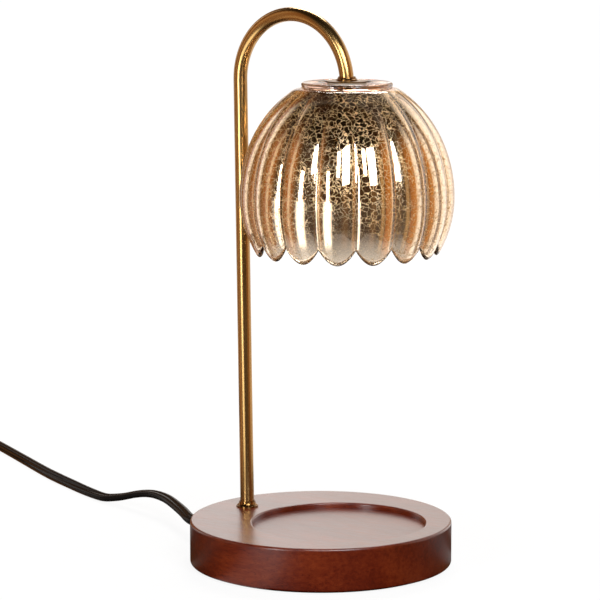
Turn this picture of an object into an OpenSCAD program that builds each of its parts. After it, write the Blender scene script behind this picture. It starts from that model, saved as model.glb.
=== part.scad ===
// Candle-warmer lamp: wooden base, brass gooseneck, fluted glass shade, in-line dimmer and mains lead.
// Origin: centre of the resting face under the base. +Z is up, +X runs from the post to the shade.

/* [Base] */
// Diameter of the wooden base
base_d = 150; // [130:1:180]
// Thickness of the wooden base
base_h = 24.6; // [22:0.2:32]
// Radius of the base's rounded edges
base_edge = 1.4; // [0.6:0.2:2.4]
// Diameter of the candle recess
recess_d = 98.8; // [80:0.2:104]
// Depth of the candle recess
recess_depth = 3.2; // [1.6:0.2:4]
// Radius of the recess's rounded edge
recess_edge = 1.2; // [0.4:0.2:1.6]
// Distance of the recess centre from the base centre
recess_x = 12.9; // [8:0.1:18]
// Distance of the non-slip pad's edge from the base's edge
pad_inset = 4; // [1:0.5:10]
// Thickness of the non-slip pad
pad_t = 1; // [0.6:0.1:2]

/* [Wiring bay] */
// Distance of the bay centre from the base's rear edge
bay_edge = 33; // [31:0.5:35]
// Diameter of the bay
bay_d = 42; // [41:0.5:44]
// Diameter of the bay's cover
cover_d = 54; // [53:0.5:57]
// Thickness of the bay's cover
cover_t = 1.6; // [1.2:0.1:2.4]
// Shank diameter of the cover screws
cover_screw_d = 2.6; // [2:0.1:3]
// Length of the cover screws
cover_screw_l = 10; // [7:0.5:12]
// Diameter of the two crimp caps
cap_d = 6.4; // [6.2:0.1:6.8]
// Length of the two crimp caps
cap_l = 15; // [10:0.5:17]

/* [Gooseneck] */
// Outer diameter of the tube
tube_d = 8; // [7.6:0.1:9]
// Wall of the tube
tube_wall = 0.8; // [0.6:0.05:0.9]
// Distance of the post from the base's rear edge
post_edge = 21.3; // [21:0.1:23]
// Length of the straight post above the base
post_h = 249.4; // [220:0.2:300]
// Lean of the post away from the shade, in degrees
post_lean = 0.95; // [0:0.05:1.5]
// Bend radius of the arch at the tube's centre
arch_r = 37.9; // [34:0.1:44]
// Diameter of the foot collar
foot_collar_d = 12.8; // [12:0.1:18]
// Height of the foot collar
foot_collar_h = 3.6; // [2.4:0.1:5]
// Width across flats of both clamp nuts
nut_flats = 13; // [12:0.5:13.5]
// Height of both clamp nuts
nut_h = 5; // [4:0.2:5.6]
// Thickness of the clamp washers
washer_t = 1.2; // [0.8:0.1:1.4]
// Diameter of the foot washer
foot_washer_d = 17; // [15:0.5:17.4]

/* [Shade] */
// Height of the glass shade from petal tip to flat top
shade_h = 95.2; // [85:0.2:105]
// Largest radius of the shade
shade_r = 60.5; // [54:0.5:66]
// Height of the widest place above the petal tips
belly_h = 31.4; // [26:0.2:36]
// Number of petals
petals = 16; // [12:1:20]
// Depth of the creases between petals
flute = 2.8; // [1:0.1:4]
// Height of the scallops on the lower edge
scallop = 8.5; // [4:0.5:12]
// Turn of the first petal from the arm's plane, in degrees
petal_turn = 8.2; // [0:0.1:22.5]
// Wall of the glass
glass_t = 2.2; // [1.6:0.1:3]
// Thickness of the shade's flat top
plate_t = 3; // [2.4:0.1:4]
// Radius of the neck bead around the flat top
neck_r = 25.6; // [23:0.1:27]
// Height of the glass top above the end of the arch
shade_seat = 1; // [0.6:0.1:2]
// Diameter of the hole in the glass
shade_hole_d = 10.4; // [10:0.1:12]
// Thickness of each soft ring
gasket_t = 0.6; // [0.4:0.1:1.2]
// Diameter of the metal disc on the shade
disc_d = 23.8; // [20:0.1:26]
// Thickness of the metal disc on the shade
disc_t = 0.7; // [0.5:0.1:1.2]
// Diameter of the top collar
top_collar_d = 11.8; // [11.4:0.1:16]
// Height of the top collar
top_collar_h = 2.2; // [1.6:0.1:3]

/* [Lampholder] */
// Diameter of the socket cup
cup_d = 38; // [37:0.5:42]
// Height of the socket cup
cup_h = 40; // [34:0.5:42]
// Wall of the socket cup
cup_wall = 0.8; // [0.6:0.1:1.2]
// Sheet thickness of the bracket
bracket_t = 1; // [0.8:0.1:1.2]
// Height of the bracket
bracket_h = 12; // [11:0.2:14]
// Width of the bracket across its legs
bracket_w = 29; // [28:0.5:31]
// Width of the bracket's strip
strip_w = 12; // [10:0.5:14]
// Diameter of the ceramic holder
holder_d = 27; // [26:0.5:30]
// Height of the ceramic holder
holder_h = 16; // [15:0.5:18]
// Spacing of the two holder screws
holder_screw_gap = 19; // [18.5:0.5:20]
// Shank diameter of the holder screws
holder_screw_d = 2.9; // [2.5:0.1:3]

/* [Bulb] */
// Spacing of the two pins
pin_gap = 10; // [9.8:0.1:10.2]
// Shank diameter of the pins
pin_d = 3; // [2.6:0.1:3.2]
// Head diameter of the pins
pin_head_d = 4.8; // [4.6:0.1:5]
// Height of the pins above the bulb base
pin_h = 7; // [6.4:0.1:7.4]
// Height of the pin heads
pin_head_h = 3; // [2.4:0.1:3.2]
// Twist that frees the bulb, in degrees
twist = 20; // [15:1:24]
// Diameter of the bulb's base
bulb_base_d = 23; // [22:0.5:25]
// Height of the bulb's base
bulb_base_h = 14; // [12:0.5:16]
// Diameter of the bulb's front
bulb_d = 50; // [48:0.5:51]
// Height of the bulb's reflector
reflector_h = 33; // [28:0.5:34]
// Wall of the reflector
reflector_t = 1.4; // [1:0.1:2]
// Thickness of the front lens
lens_t = 2; // [1.6:0.1:2.4]
// Diameter of the halogen capsule
capsule_d = 9; // [8:0.5:10]

/* [Cord] */
// Wide size of the flat lead
cord_w = 6.6; // [6:0.1:6.8]
// Thin size of the flat lead
cord_t = 4; // [3.6:0.1:4.2]
// Height of the cord hole above the floor
cord_hole_z = 10; // [9:0.2:10.6]
// Diameter of the grommet in the cord hole
grommet_d = 10.6; // [10:0.1:11]
// Diameter of the grommet's thin end
grommet_tip_d = 8.8; // [8.4:0.1:9.6]
// Length of the grommet inside the wood
grommet_in = 10; // [8:0.5:10.5]
// Length of the grommet behind the base
grommet_out = 12; // [10:0.5:12]
// Mean radius of the coil
coil_r = 36.5; // [34:0.5:40]
// Step between neighbouring turns of the coil
coil_step = 4.8; // [4.7:0.1:5.4]
// Step between the two layers of the coil
coil_layer = 7.4; // [7.3:0.1:8]
// Thickness of the coil's tie
tie_t = 1; // [0.8:0.1:1.2]
// Width of the coil's tie
tie_w = 9; // [6:0.5:12]

/* [Dimmer] */
// Length of the dimmer's case
dimmer_l = 78; // [72:1:80]
// Width of the dimmer's case
dimmer_w = 29; // [27:0.5:32]
// Height of the dimmer's case
dimmer_h = 17; // [16:0.5:19]
// Wall of the dimmer's case
dimmer_wall = 1.6; // [1.2:0.1:2]
// Diameter of the dimmer's knob
knob_d = 22; // [18:0.5:25]
// Height of the dimmer's knob above the case
knob_h = 6; // [4:0.5:9]
// Diameter of the knob's shaft
shaft_d = 6; // [5:0.1:6.4]
// Thickness of the circuit board
board_t = 1.6; // [1.2:0.1:2]
// Height of the potentiometer's body
pot_h = 5; // [4:0.2:5.4]

/* [Plug] */
// Length of the plug's body
plug_l = 24; // [20:0.5:28]
// Width of the plug's body
plug_w = 24; // [22:0.5:27]
// Height of the plug's body
plug_h = 14; // [13:0.5:17]
// Length of the plug's flexible neck
neck_l = 20; // [20:0.5:24]
// Length of the blades outside the plug
blade_l = 17.5; // [16:0.5:18.5]
// Width of the blades
blade_w = 6.35; // [6.1:0.05:6.6]
// Thickness of the blades
blade_t = 1.5; // [1.3:0.1:1.7]
// Spacing of the blades
blade_gap = 12.7; // [12.4:0.1:13]

/* [Fits] */
// Gap around parts that are assembled with play
fit_gap = 0.3; // [0.2:0.05:0.35]
// Gap around parts that are screwed or pressed together
snug_gap = 0.1; // [0.05:0.01:0.12]
// Radial gap of the shaft in its bush
run_gap = 0.05; // [0.02:0.01:0.09]

/* [Hidden] */
$fn = 64;

// Levels of the base, and of the foot's clamp stack upwards from the bay's cover
thread_over = 0.6;
lead_d = 2.2;
lead_bend = 2.6;
base_top = pad_t + base_h;
rim_x = -base_d / 2;
post_x = rim_x + post_edge;
bay_x = rim_x + bay_edge;
cover_top = pad_t + cover_t;
lead_z = cover_top + fit_gap + cap_d / 2;
tail_z = lead_z + lead_bend + fit_gap;
foot_nut_z = tail_z + thread_over;
foot_lock_z = foot_nut_z + nut_h;
foot_washer_z = foot_lock_z + washer_t;
bay_top = foot_washer_z + washer_t;

// x of the leaning post's axis at a height, and lengths along it below the base's top
function post_axis(z) = post_x - (z - base_top) * tan(post_lean);
tail_l = (base_top - tail_z) / cos(post_lean);

// Arch: centre and lower end
arch_x = post_x - post_h * sin(post_lean) + arch_r * cos(post_lean);
arch_z = base_top + post_h * cos(post_lean) + arch_r * sin(post_lean);
shade_x = arch_x + arch_r;

// Levels of the shade's clamp stack, downwards from the top collar
glass_top = arch_z + shade_seat;
disc_z = glass_top + gasket_t;
collar_z = disc_z + disc_t;
glass_under = glass_top - plate_t;
cup_top = glass_under - gasket_t;
bracket_top = cup_top - cup_wall;
cup_lock_z = bracket_top - bracket_t - washer_t;
cup_nut_z = cup_lock_z - nut_h;
drop_z = cup_nut_z - thread_over;
holder_top = bracket_top - bracket_h;
holder_z = holder_top - holder_h;
bulb_top = holder_z - fit_gap;
reflector_top = bulb_top - bulb_base_h;
lens_top = reflector_top - reflector_h;
tip_z = glass_top - shade_h;

// Points of a round stretch in a profile
function arc(cx, cy, r, from, to, n = 5) = [
  for (i = [0 : n])
    let (a = from + (to - from) * i / n) [cx + r * cos(a), cy + r * sin(a)]
];

// Triangles between rings of equal size, closed along the rings and, if asked, from the last ring to the first
function band(rings, sides, ring_closes) = [
  for (i = [0 : rings - (ring_closes ? 1 : 2)])
    for (j = [0 : sides - 1])
      let (a = i * sides + j, b = i * sides + (j + 1) % sides, down = ((i + 1) % rings) * sides)
        each [[a, b, down + j], [b, down + (j + 1) % sides, down + j]]
];
function fan(first, sides, flip) = [
  for (j = [1 : sides - 2])
    flip ? [first, first + j + 1, first + j] : [first, first + j, first + j + 1]
];

// A ring solid
module ring(outer, inner, h) {
  difference() {
    cylinder(d = outer, h = h);
    translate([0, 0, -1])
      cylinder(d = inner, h = h + 2);
  }
}

// A block with round upright corners
module round_block(l, w, h, r) {
  translate([-l / 2, r - w / 2, 0])
    cube([l, w - 2 * r, h]);
  translate([r - l / 2, -w / 2, 0])
    cube([l - 2 * r, w, h]);
  for (x = [r - l / 2, l / 2 - r], y = [r - w / 2, w / 2 - r])
    translate([x, y, 0])
      cylinder(r = r, h = h);
}

// A split spring washer
washer_slit = 1.2;
module lock_washer(outer, inner, h) {
  difference() {
    ring(outer, inner, h);
    translate([0, -washer_slit / 2, -1])
      cube([outer, washer_slit, h + 2]);
  }
}

module hex_nut(flats, bore, h) {
  difference() {
    cylinder(d = flats / cos(30), h = h, $fn = 6);
    translate([0, 0, -1])
      cylinder(d = bore, h = h + 2);
  }
}

// Base

cover_screw_r = (bay_d + cover_d) / 4;
cover_head_d = 5;
cover_head_h = 1.3;
cord_hole_d = grommet_d + 2 * snug_gap;
foot_hole_d = tube_d + 4 * fit_gap;

module at_cover_screws() {
  for (a = [0, 120, 240])
    translate([bay_x + cover_screw_r * cos(a), cover_screw_r * sin(a), pad_t])
      children();
}

module wood_base() {
  recess_floor = base_top - recess_depth;
  rim = base_d / 2 - base_edge;
  color("#5a2318")
    difference() {
      rotate_extrude()
        polygon(concat(
          [[0, pad_t]],
          arc(rim, pad_t + base_edge, base_edge, -90, 0),
          arc(rim, base_top - base_edge, base_edge, 0, 90),
          [[0, base_top]]
        ));
      translate([recess_x, 0, 0])
        rotate_extrude()
          polygon(concat(
            [[0, recess_floor], [recess_d / 2, recess_floor]],
            arc(recess_d / 2 + recess_edge, base_top - recess_edge, recess_edge, 180, 90),
            [[recess_d / 2 + recess_edge, base_top + 1], [0, base_top + 1]]
          ));
      translate([post_axis((base_top + bay_top) / 2), 0, bay_top - 1])
        cylinder(d = foot_hole_d, h = base_top - bay_top + 2);
      translate([bay_x, 0, pad_t - 1])
        cylinder(d = bay_d, h = bay_top - pad_t + 1);
      translate([bay_x, 0, pad_t - 1])
        cylinder(d = cover_d + 2 * fit_gap, h = cover_t + 1);
      translate([rim_x - 1, 0, cord_hole_z])
        rotate([0, 90, 0])
          cylinder(d = cord_hole_d, h = bay_x - rim_x);
      at_cover_screws()
        cylinder(d = cover_screw_d + 2 * snug_gap, h = cover_screw_l + 1);
    }
}

module non_slip_pad() {
  color("#1c1a19")
    cylinder(d = base_d - 2 * pad_inset, h = pad_t);
}

module bottom_cover() {
  color("#2b2a29")
    difference() {
      translate([bay_x, 0, pad_t])
        cylinder(d = cover_d, h = cover_t);
      at_cover_screws() {
        cylinder(d1 = cover_head_d + 2 * fit_gap, d2 = cover_screw_d + 2 * fit_gap, h = cover_head_h);
        cylinder(d = cover_screw_d + 2 * fit_gap, h = cover_t + 1);
      }
    }
}

module cover_screws() {
  color("silver")
    at_cover_screws() {
      cylinder(d1 = cover_head_d, d2 = cover_screw_d, h = cover_head_h);
      cylinder(d = cover_screw_d, h = cover_screw_l);
    }
}

// Gooseneck and its foot

tube_hole = tube_d + 2 * fit_gap;
thread_d = tube_d - 0.4;
thread_bore = tube_d - 2 * tube_wall + 0.2;
thread_root = 1.5;
foot_thread = (bay_top - tail_z + 2) / cos(post_lean);

// A collar with a thin flange and a hollow flare that closes in on the tube
flange_h = 0.9;
collar_wall = 0.4;
module flared_collar(outer, bore, h) {
  flare = (outer - bore) / 2 - collar_wall;
  rotate_extrude()
    polygon(concat(
      [[bore / 2, 0], [outer / 2, 0]],
      [for (a = [0 : 15 : 90]) [outer / 2 - flare * sin(a), h - (h - flange_h) * cos(a)]],
      [[bore / 2, h]]
    ));
}

module foot_collar() {
  color("#9c7434")
    translate([post_x, 0, base_top])
      flared_collar(foot_collar_d, tube_hole, foot_collar_h);
}

module tube_section() {
  difference() {
    circle(d = tube_d);
    circle(d = tube_d - 2 * tube_wall);
  }
}

// Both ends are threaded and a little thinner than the tube, whose wall each one reaches into
module gooseneck_tube() {
  color("#a67c3a") {
    translate([post_x, 0, base_top])
      rotate([0, -post_lean, 0]) {
        translate([0, 0, post_h])
          mirror([0, 0, 1])
            linear_extrude(post_h + tail_l - foot_thread)
              tube_section();
        translate([arch_r, 0, post_h])
          mirror([1, 0, 0])
            rotate([90, 0, 0])
              rotate_extrude(angle = 180 + post_lean)
                translate([arch_r, 0])
                  tube_section();
        translate([0, 0, -tail_l])
          ring(thread_d, thread_bore, foot_thread + thread_root);
      }
    translate([shade_x, 0, drop_z])
      ring(thread_d, thread_bore, arch_z - drop_z + thread_root);
  }
}

module foot_washer() {
  color("silver")
    translate([post_axis(foot_washer_z), 0, foot_washer_z])
      ring(foot_washer_d, tube_hole, washer_t);
}

// One spring washer and one nut at each end of the tube
module lock_washers() {
  color("silver") {
    translate([post_axis(foot_lock_z), 0, foot_lock_z])
      lock_washer(nut_flats, tube_hole, washer_t);
    translate([shade_x, 0, cup_lock_z])
      lock_washer(nut_flats, tube_hole, washer_t);
  }
}

module clamp_nuts() {
  color("silver") {
    translate([post_axis(foot_nut_z + nut_h / 2), 0, foot_nut_z])
      hex_nut(nut_flats, thread_d + 2 * snug_gap, nut_h);
    translate([shade_x, 0, cup_nut_z])
      hex_nut(nut_flats, thread_d + 2 * snug_gap, nut_h);
  }
}

// Wires in the arm and in the wiring bay

cap_y = cap_d / 2 + fit_gap;
wire_split = 1.9;
conductor_d = 2.4;
cap_x = bay_x + 2;

module wire_connectors() {
  color("#e8e2d0")
    for (side = [-1, 1])
      translate([cap_x, side * cap_y, lead_z])
        rotate([0, 90, 0])
          cylinder(d = cap_d, h = cap_l);
}

// Flat leads and wires: each place on a route is [x, y, z, roll], with roll 90 for a lead that stands on edge

function spline(a, b, c, d, s) =
  0.5 * (2 * b + (c - a) * s + (2 * a - 5 * b + 4 * c - d) * s * s + (3 * b - a - 3 * c + d) * s * s * s);
function smooth_route(route, steps) = let (last = len(route) - 1) [
  for (i = [0 : last - 1], k = [0 : steps - 1])
    spline(route[max(i - 1, 0)], route[i], route[i + 1], route[min(i + 2, last)], k / steps),
  route[last]
];
function place(p) = [p[0], p[1], p[2]];
function unit(v) = v / norm(v);
function heading(path, i) = unit(place(path[min(i + 1, len(path) - 1)]) - place(path[max(i - 1, 0)]));
function section(p, ahead, w, t, sides, up_way) =
  let (side = unit(cross(ahead, up_way)), up = cross(side, ahead))
  let (wide = side * cos(p[3]) + up * sin(p[3]), thin = up * cos(p[3]) - side * sin(p[3])) [
    for (j = [0 : sides - 1])
      let (a = 360 * j / sides) place(p) + wide * cos(a) * w / 2 + thin * sin(a) * t / 2
  ];
function rings_along(path, w, t, sides, up_way = [0, 0, 1]) = [
  for (i = [0 : len(path) - 1]) section(path[i], heading(path, i), w, t, sides, up_way)
];
function path_length(path) =
  let (steps = [for (i = [1 : len(path) - 1]) norm(place(path[i]) - place(path[i - 1]))])
    steps * [for (s = steps) 1];

module swept(path, w, t, sides, up_way = [0, 0, 1]) {
  rings = rings_along(path, w, t, sides, up_way);
  count = len(rings);
  polyhedron(
    [for (r = rings) each r],
    concat(band(count, sides, false), fan(0, sides, true), fan((count - 1) * sides, sides, false))
  );
}

cord_sides = 10;
wire_sides = 8;
cord_bore = cord_w + 2 * fit_gap;
wire_gap = 0.3;

// Middle of the dimmer's near and far ends, where the lead goes in
dimmer_heading = 217;
split_z = dimmer_h / 2;
cord_in = 5;
dimmer_ahead = [cos(dimmer_heading), sin(dimmer_heading), 0, 0];
dimmer_near = [-420, 118.6, split_z, 90];
dimmer_far = dimmer_near + dimmer_ahead * dimmer_l;

// Route of the lead from the base to the dimmer
mains_route = [
  [rim_x + grommet_in, 0, cord_hole_z, 45], [rim_x, 0, cord_hole_z, 44],
  [rim_x - grommet_out + 2, 0, cord_hole_z, 42], [-94, 1.5, 10.3, 38], [-102.5, 5.5, 10.8, 35],
  [-114, 14, 11.4, 30], [-130, 24.5, 12.3, 22], [-142, 31.5, 12.7, 16], [-154, 36.5, 12.5, 11],
  [-164, 39.5, 11.4, 8], [-174, 41.2, 9.3, 8], [-186, 42.4, 5.9, 9], [-194, 42.8, 4.2, 11],
  [-201, 43.6, 3.1, 15], [-209, 46, 2.7, 20], [-224, 51.5, 2.7, 33], [-241, 58.5, 2.9, 46],
  [-277, 74.5, 3.2, 67], [-319, 96.5, 3.4, 82], [-346, 111, 3.4, 90], [-372, 124.5, 3.4, 90],
  [-386.5, 129.5, 3.8, 90], [-401.5, 128.5, 5.4, 90], [-412, 124, 7.4, 90],
  dimmer_near, dimmer_near + dimmer_ahead * cord_in
];
mains_path = smooth_route(mains_route, 2);

module mains_cord() {
  color("#17171a")
    swept(mains_path, cord_w, cord_t, cord_sides);
}

module cord_grommet() {
  groove = 0.8;
  grooves = 3;
  color("#141416")
    translate([rim_x, 0, cord_hole_z])
      rotate([0, -90, 0])
        difference() {
          union() {
            translate([0, 0, -grommet_in])
              cylinder(d = grommet_d, h = grommet_in);
            cylinder(d1 = grommet_d, d2 = grommet_tip_d, h = grommet_out);
          }
          translate([0, 0, -grommet_in - 1])
            cylinder(d = cord_bore, h = grommet_in + grommet_out + 2);
          for (i = [1 : grooves])
            translate([0, 0, i * grommet_out / (grooves + 1)])
              ring(grommet_d + 2, grommet_tip_d - groove / 2, groove);
        }
}

module cord_conductors() {
  cut_x = rim_x + grommet_in;
  color("#3b3b40")
    for (side = [-1, 1])
      swept(smooth_route([
        for (ahead = [wire_gap, 1.2, 2.1]) [cut_x + ahead, side * 1.6, cord_hole_z - 0.4, 0],
        [cut_x + 4, side * 2.4, (cord_hole_z + lead_z) / 2, 0],
        [cut_x + 7, side * (cap_y + 1), lead_z + 0.2, 0],
        [post_x, side * (cap_y + wire_split), lead_z, 0],
        [cap_x - 3, side * (cap_y + wire_split), lead_z, 0],
        [cap_x, side * (cap_y + wire_split), lead_z, 0]
      ], 2), conductor_d, conductor_d, wire_sides);
}

// Two leads, from the crimp caps round under the tube's end, up the post, over the arch and down to the holder
module arm_leads() {
  foot_z = lead_z + lead_bend;
  bend_x = post_axis(foot_z) + lead_bend * cos(post_lean);
  bend_z = foot_z + lead_bend * sin(post_lean);
  line = concat(
    [[cap_x, bend_z - lead_bend]],
    arc(bend_x, bend_z, lead_bend, 270, 180 + post_lean, 4),
    arc(arch_x, arch_z, arch_r, 180 + post_lean, 0, 18),
    [[shade_x, holder_top]]
  );
  color("#d8d2c4")
    for (y = [wire_split - cap_y, cap_y - wire_split])
      swept([for (p = line) [p[0], y, p[1], 0]], lead_d, lead_d, wire_sides, [0, 1, 0]);
}

// Shade and its clamp stack

module at_shade(z) {
  translate([shade_x, 0, z])
    children();
}

module top_collar() {
  color("#9c7434")
    at_shade(collar_z)
      flared_collar(top_collar_d, tube_d + 4 * fit_gap, top_collar_h);
}

module shade_disc() {
  color("#a67c3a")
    at_shade(disc_z)
      ring(disc_d, tube_hole, disc_t);
}

module top_gasket() {
  color("#d9d4cc")
    at_shade(glass_top)
      ring(disc_d - 2, tube_hole, gasket_t);
}

module lower_gasket() {
  color("#d9d4cc")
    at_shade(cup_top)
      ring(disc_d - 2, tube_hole, gasket_t);
}

// Glass: a ring of petals, each bowed outwards between sharp creases. u runs from -1 to 1 across a petal.
petal_steps = 6;
wall_rings = 12;
shoulder_drop = 5.5;
crown_more = 5.2;
tuck_more = 29.6;
belly_z = tip_z + belly_h;
shade_sides = petals * petal_steps;
shoulder_z = glass_top - shoulder_drop;

function bell(z, r, shrink) =
  let (half = (z > belly_z ? glass_top - belly_z + crown_more : belly_h + tuck_more) - shrink)
    r * sqrt(max(0, 1 - pow((z - belly_z) / half, 2)));
function across(j) = 2 * (j % petal_steps) / petal_steps - 1;
function petal_angle(j) = petal_turn + (j / petal_steps - 0.5) * 360 / petals;
function on_shade(r, z, j) =
  [shade_x + r * cos(petal_angle(j)), r * sin(petal_angle(j)), z];
function plain_ring(r, z) = [for (j = [0 : shade_sides - 1]) on_shade(r, z, j)];
// s is 0 at the top of a wall and 1 at its scalloped edge
function wall_ring(s, top, r, shrink) = [
  for (j = [0 : shade_sides - 1])
    let (u = across(j), z = top + (tip_z - top) * s + scallop * u * u * pow(s, 3))
      on_shade(bell(z, r, shrink) - flute * u * u * (1 - pow(1 - s, 3)), z, j)
];
function shade_rings() = concat(
  [plain_ring(shade_hole_d / 2, glass_top), plain_ring(neck_r - 3, glass_top)],
  [for (p = arc(neck_r - 1.2, glass_top - 0.7, 1.2, 120, -20, 4)) plain_ring(p[0], p[1])],
  [plain_ring(neck_r - 0.4, glass_top - 2.2), plain_ring(neck_r + 2.6, glass_top - 2.9)],
  [for (k = [0 : wall_rings]) wall_ring(k / wall_rings, shoulder_z, shade_r, 0)],
  [for (k = [wall_rings : -1 : 0]) wall_ring(k / wall_rings, glass_under, shade_r - glass_t, glass_t)],
  [plain_ring(shade_hole_d / 2, glass_under)]
);

module glass_shade() {
  rings = shade_rings();
  color("#b98a55", 0.6)
    polyhedron([for (r = rings) each r], band(len(rings), shade_sides, true));
}

// Lampholder

module socket_cup() {
  color("#9c7434")
    at_shade(cup_top - cup_h)
      difference() {
        cylinder(d = cup_d, h = cup_h);
        translate([0, 0, -1])
          cylinder(d = cup_d - 2 * cup_wall, h = cup_h - cup_wall + 1);
        cylinder(d = tube_hole, h = cup_h + 1);
      }
}

module at_holder_screws(z) {
  for (side = [-1, 1])
    translate([shade_x, side * holder_screw_gap / 2, z])
      children();
}

module lampholder_bracket() {
  foot_l = 9;
  color("silver")
    difference() {
      at_shade(holder_top)
        for (side = [0, 1])
          mirror([0, side, 0]) {
            translate([-strip_w / 2, 0, bracket_h - bracket_t])
              cube([strip_w, bracket_w / 2, bracket_t]);
            translate([-strip_w / 2, bracket_w / 2 - bracket_t, 0])
              cube([strip_w, bracket_t, bracket_h]);
            translate([-strip_w / 2, bracket_w / 2 - foot_l, 0])
              cube([strip_w, foot_l, bracket_t]);
          }
      at_shade(bracket_top - bracket_t - 1)
        cylinder(d = tube_hole, h = bracket_t + 2);
      at_holder_screws(holder_top - 1)
        cylinder(d = holder_screw_d + 2 * snug_gap, h = bracket_t + 2);
    }
}

// Keyhole slots for the two headed pins: narrow at the face, wide behind it, with a round way in
holder_head_d = 5.4;
holder_head_h = 2;
contact_room = 1.6;
contact_t = 0.8;
slot_ease = 0.4;
slot_w = pin_d + 2 * fit_gap;
cavity_w = pin_head_d + 2 * fit_gap;
ledge_h = pin_h - pin_head_h - 2 * fit_gap;
cavity_h = pin_h - fit_gap + contact_room - ledge_h;

// Middle of a pin when the bulb has turned by a, on one side or the other
function pin_spot(side, a) = [side * cos(a) * pin_gap / 2, side * sin(a) * pin_gap / 2, 0];

// The way of one pin: a round end at rest, one at the way in, and their overlap between
module pin_way(side, w, h) {
  for (a = [0, -twist])
    translate(pin_spot(side, a))
      cylinder(d = w + slot_ease, h = h);
}

module lampholder() {
  color("#e9e5da")
    difference() {
      at_shade(holder_z)
        cylinder(d = holder_d, h = holder_h);
      for (side = [-1, 1])
        at_shade(holder_z) {
          translate([0, 0, -1])
            pin_way(side, slot_w, ledge_h + 2);
          translate([0, 0, ledge_h])
            pin_way(side, cavity_w, cavity_h);
          translate([0, 0, -1])
            translate(pin_spot(side, -twist))
              cylinder(d = cavity_w, h = ledge_h + 3);
        }
      at_holder_screws(holder_z - 1) {
        cylinder(d = holder_screw_d + 2 * fit_gap, h = holder_h + 2);
        cylinder(d = holder_head_d + 2 * fit_gap, h = holder_head_h + 1 + fit_gap);
      }
    }
}

module lampholder_screws() {
  color("silver")
    at_holder_screws(holder_z + fit_gap) {
      cylinder(d = holder_head_d, h = holder_head_h);
      cylinder(d = holder_screw_d, h = holder_h + bracket_t);
    }
}

module lampholder_contacts() {
  contact_l = 4;
  contact_w = 3.6;
  color("#c9a24c")
    for (turn = [0, 180])
      at_shade(holder_z + ledge_h + cavity_h - contact_t)
        rotate([0, 0, turn])
          translate([pin_gap / 2 - contact_l / 2, -contact_w / 2, 0])
            cube([contact_l, contact_w, contact_t]);
}

// Bulb

module bulb_base() {
  color("#f0ede4")
    at_shade(reflector_top)
      cylinder(d = bulb_base_d, h = bulb_base_h);
}

module bulb_pins() {
  color("#b8b8b8")
    for (side = [-1, 1])
      at_shade(bulb_top)
        translate([side * pin_gap / 2, 0, 0]) {
          cylinder(d = pin_d, h = pin_h);
          translate([0, 0, pin_h - pin_head_h])
            cylinder(d = pin_head_d, h = pin_head_h);
        }
}

reflector_rings = 8;
function bowl(shrink) = [
  for (i = [0 : reflector_rings])
    let (s = i / reflector_rings)
      [bulb_base_d / 2 + (bulb_d - bulb_base_d) / 2 * sqrt(s) - shrink, lens_top + reflector_h * (1 - s)]
];

module bulb_reflector() {
  inside = bowl(reflector_t);
  color("#cfd3d6")
    translate([shade_x, 0, 0])
      rotate_extrude()
        polygon(concat(bowl(0), [for (i = [reflector_rings : -1 : 0]) inside[i]]));
}

module bulb_lens() {
  color("#dfe8ea", 0.5)
    at_shade(lens_top - lens_t)
      cylinder(d = bulb_d, h = lens_t);
}

module bulb_capsule() {
  capsule_l = 16;
  color("#eef2f2", 0.6)
    at_shade(reflector_top - capsule_l) {
      cylinder(d = capsule_d, h = capsule_l);
      sphere(d = capsule_d);
    }
}

// Dimmer on the lead: its own x runs along the lead, from the end nearer the base

dimmer_corner = 6;
post_place = [24, 9.4];
case_post_d = 5.6;
case_screw_d = 2.4;
case_head_d = 4.4;
case_head_h = 1.6;
board_w = 12;
board_l = 48;
board_z = 4;
rib_x = 18;
rib_t = 2;
pot_w = 11;
bush_d = 9;
bush_h = 3;
pot_z = board_z + board_t;
shaft_z = pot_z + 2;
knob_z = dimmer_h + fit_gap;
knob_roof = 1.6;

module at_dimmer() {
  translate([dimmer_near[0], dimmer_near[1], 0])
    rotate([0, 0, dimmer_heading])
      translate([dimmer_l / 2, 0, 0])
        children();
}

module at_case_posts() {
  for (side = [-1, 1])
    translate([side * post_place[0], side * post_place[1], 0])
      children();
}

// One half of the case: a tray of height h with its floor down and notches for the lead at both ends
module case_tray(h) {
  difference() {
    round_block(dimmer_l, dimmer_w, h, dimmer_corner);
    translate([0, 0, dimmer_wall])
      round_block(dimmer_l - 2 * dimmer_wall, dimmer_w - 2 * dimmer_wall, h, dimmer_corner - dimmer_wall);
    translate([-dimmer_l, 0, h])
      rotate([0, 90, 0])
        cylinder(d = cord_bore, h = 2 * dimmer_l);
  }
}

module dimmer_lower_shell() {
  color("#19191b")
    at_dimmer()
      difference() {
        union() {
          case_tray(split_z);
          at_case_posts()
            cylinder(d = case_post_d, h = split_z);
          for (side = [-1, 1])
            translate([side * rib_x - rib_t / 2, -board_w / 2, 0])
              cube([rib_t, board_w, board_z]);
        }
        at_case_posts() {
          translate([0, 0, -1])
            cylinder(d = case_screw_d + 2 * fit_gap, h = split_z + 2);
          translate([0, 0, -1])
            cylinder(d = case_head_d + 2 * fit_gap, h = case_head_h + fit_gap + 1);
        }
      }
}

module dimmer_upper_shell() {
  color("#1d1d20")
    at_dimmer()
      difference() {
        union() {
          translate([0, 0, dimmer_h])
            mirror([0, 0, 1])
              case_tray(dimmer_h - split_z);
          at_case_posts()
            translate([0, 0, split_z])
              cylinder(d = case_post_d, h = dimmer_h - split_z);
        }
        at_case_posts()
          translate([0, 0, split_z - 1])
            cylinder(d = case_screw_d + 2 * snug_gap, h = dimmer_h - split_z - dimmer_wall + 1);
        translate([0, 0, split_z])
          cylinder(d = shaft_d + 2 * fit_gap, h = dimmer_h);
      }
}

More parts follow.
